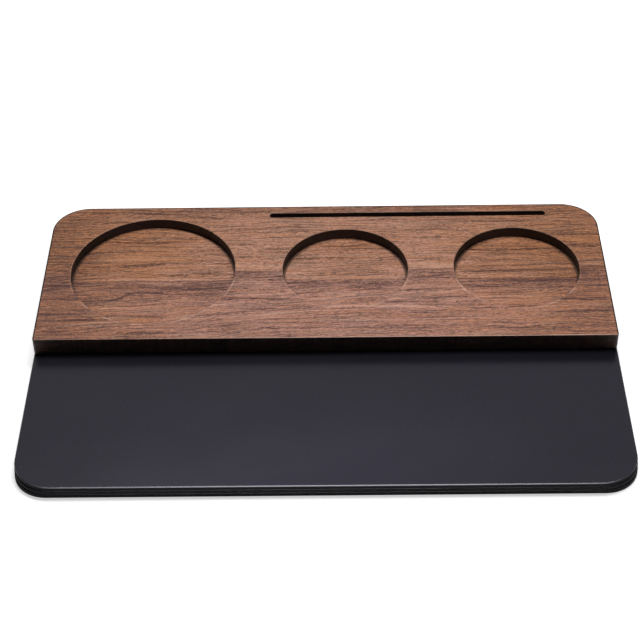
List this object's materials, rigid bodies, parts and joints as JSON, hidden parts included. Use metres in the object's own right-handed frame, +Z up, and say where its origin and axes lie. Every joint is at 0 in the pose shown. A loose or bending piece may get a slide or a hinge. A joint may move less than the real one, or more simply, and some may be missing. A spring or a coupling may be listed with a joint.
{
  "type": "tamping station",
  "caption": "Low walnut board with round tool recesses and a narrow slot, bonded across the rear of a flat black leather mat that takes the tamping.",
  "frame": {"origin": "centre of the footprint, on the surface that the mat lies on", "axes": "+X along the board to the right as seen from the front, +Y towards the rear of the board, +Z up"},
  "size_m": [0.2706, 0.1848, 0.015],
  "materials": {
    "under_leather": "matte",
    "top_leather": "matte",
    "front_walnut": "satin",
    "rear_walnut": "satin"
  },
  "bodies": {
    "root": {"base_leather": "under_leather", "middle_leather": "under_leather", "top_leather": "top_leather", "front_stave": "front_walnut", "rear_stave": "rear_walnut"}
  },
  "joints": []
}
